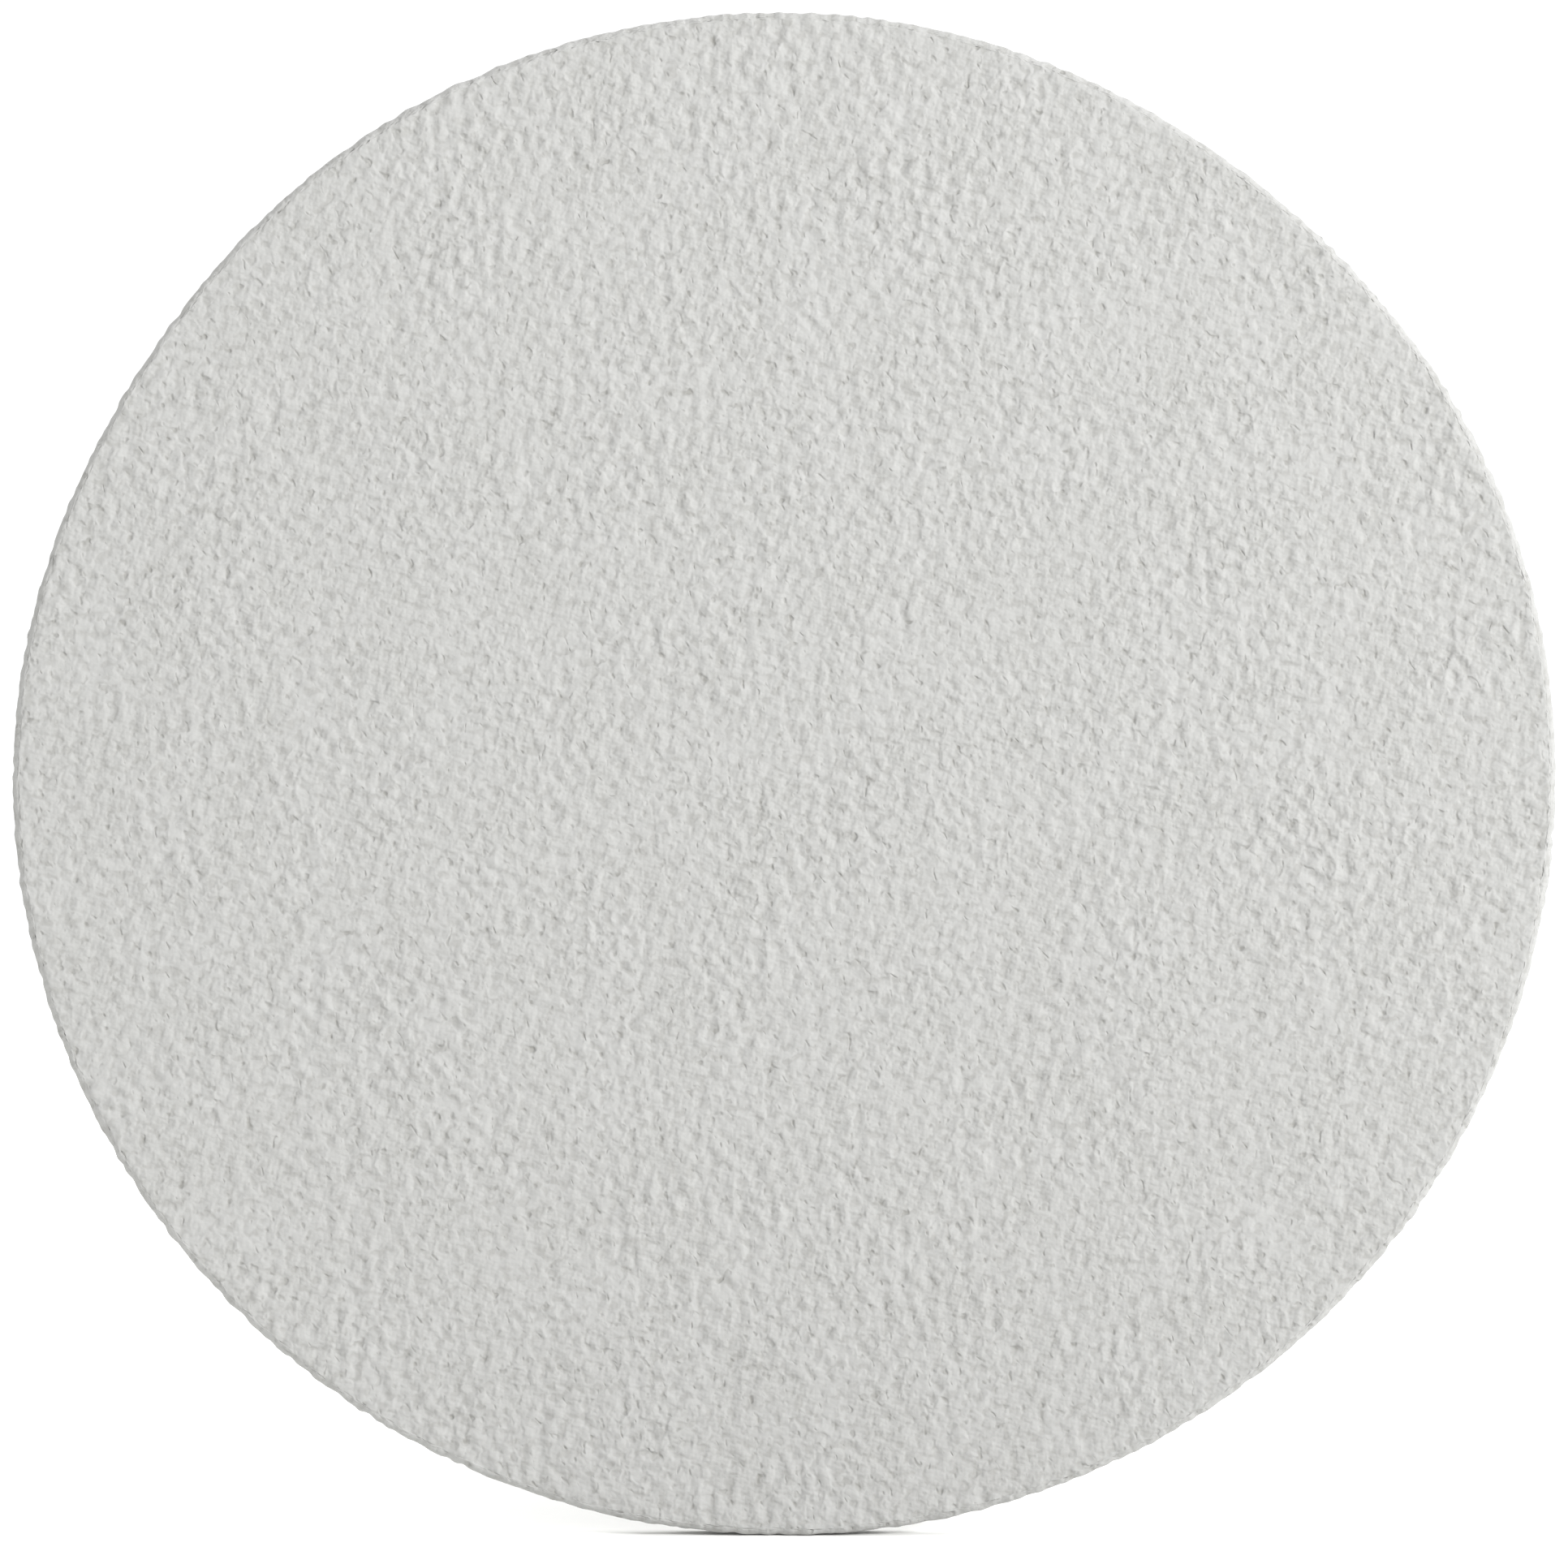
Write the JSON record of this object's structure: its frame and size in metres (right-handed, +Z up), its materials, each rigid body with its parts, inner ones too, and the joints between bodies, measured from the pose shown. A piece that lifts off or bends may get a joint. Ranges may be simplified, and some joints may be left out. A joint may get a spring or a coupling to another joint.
{
  "type": "collapsible backdrop panel",
  "caption": "Round pop-up backdrop panel of pebble-coated canvas stretched over a sprung hoop, hemmed at the back, with a hanging tab.",
  "frame": {"origin": "centre of the whole panel's box: middle of the oval, half way from the painted face to the rear of the eyelet", "axes": "+Z up the panel, +X to the right as seen from the painted face, which looks along -Y; +Y runs through the panel to the rear"},
  "size_m": [0.302, 0.0122, 0.298],
  "materials": {
    "front_cloth": "pebbled paint coat over plain-weave canvas, matte",
    "back_cloth": "plain woven polyester, matte",
    "spring_steel": "blued spring steel",
    "casing_cloth": "woven tape",
    "sleeve_metal": "crimped aluminium",
    "rivet_metal": "plain aluminium",
    "binding_tape": "ribbed polyester tape",
    "hem_thread": "bonded thread",
    "webbing": "woven nylon webbing",
    "tab_thread": "bonded thread",
    "eyelet_metal": "nickel plate",
    "label_cloth": "woven satin tape, blank",
    "label_thread": "polyester thread"
  },
  "bodies": {
    "middle": {"front_cloth_middle": "front_cloth", "back_cloth_middle": "back_cloth", "spring_hoop_middle": "spring_steel", "hoop_casing_middle": "casing_cloth", "hem_binding_middle": "binding_tape", "hem_stitching_middle": "hem_thread", "hoop_sleeve": "sleeve_metal", "hoop_rivets": "rivet_metal", "tab_anchor": "webbing", "anchor_stitching": "tab_thread", "care_label": "label_cloth", "label_stitching": "label_thread"},
    "left_lobe": {"front_cloth_left": "front_cloth", "back_cloth_left": "back_cloth", "spring_hoop_left": "spring_steel", "hoop_casing_left": "casing_cloth", "hem_binding_left": "binding_tape", "hem_stitching_left": "hem_thread"},
    "right_lobe": {"front_cloth_right": "front_cloth", "back_cloth_right": "back_cloth", "spring_hoop_right": "spring_steel", "hoop_casing_right": "casing_cloth", "hem_binding_right": "binding_tape", "hem_stitching_right": "hem_thread"},
    "tab": {"hanging_tab": "webbing", "eyelet": "eyelet_metal", "eyelet_washer": "eyelet_metal", "tab_edge_stitching": "tab_thread"}
  },
  "joints": [
    {"name": "left_lobe_fold", "type": "hinge", "parent": "middle", "child": "left_lobe", "pos_m": [-0.05, -0.0111, 0], "axis": [0, 0, 1], "range_deg": [0, 175], "stiffness_Nm_per_rad": 0.2},
    {"name": "right_lobe_fold", "type": "hinge", "parent": "middle", "child": "right_lobe", "pos_m": [0.05, 0.00745, 0], "axis": [0, 0, 1], "range_deg": [0, 175], "stiffness_Nm_per_rad": 0.2},
    {"name": "tab_flip", "type": "hinge", "parent": "middle", "child": "tab", "pos_m": [0, 0.006, 0.1405], "axis": [1, 0, 0], "range_deg": [0, 175]}
  ],
  "couplings": [
    {"joint": "right_lobe_fold", "follows": "left_lobe_fold", "ratio": 1}
  ]
}
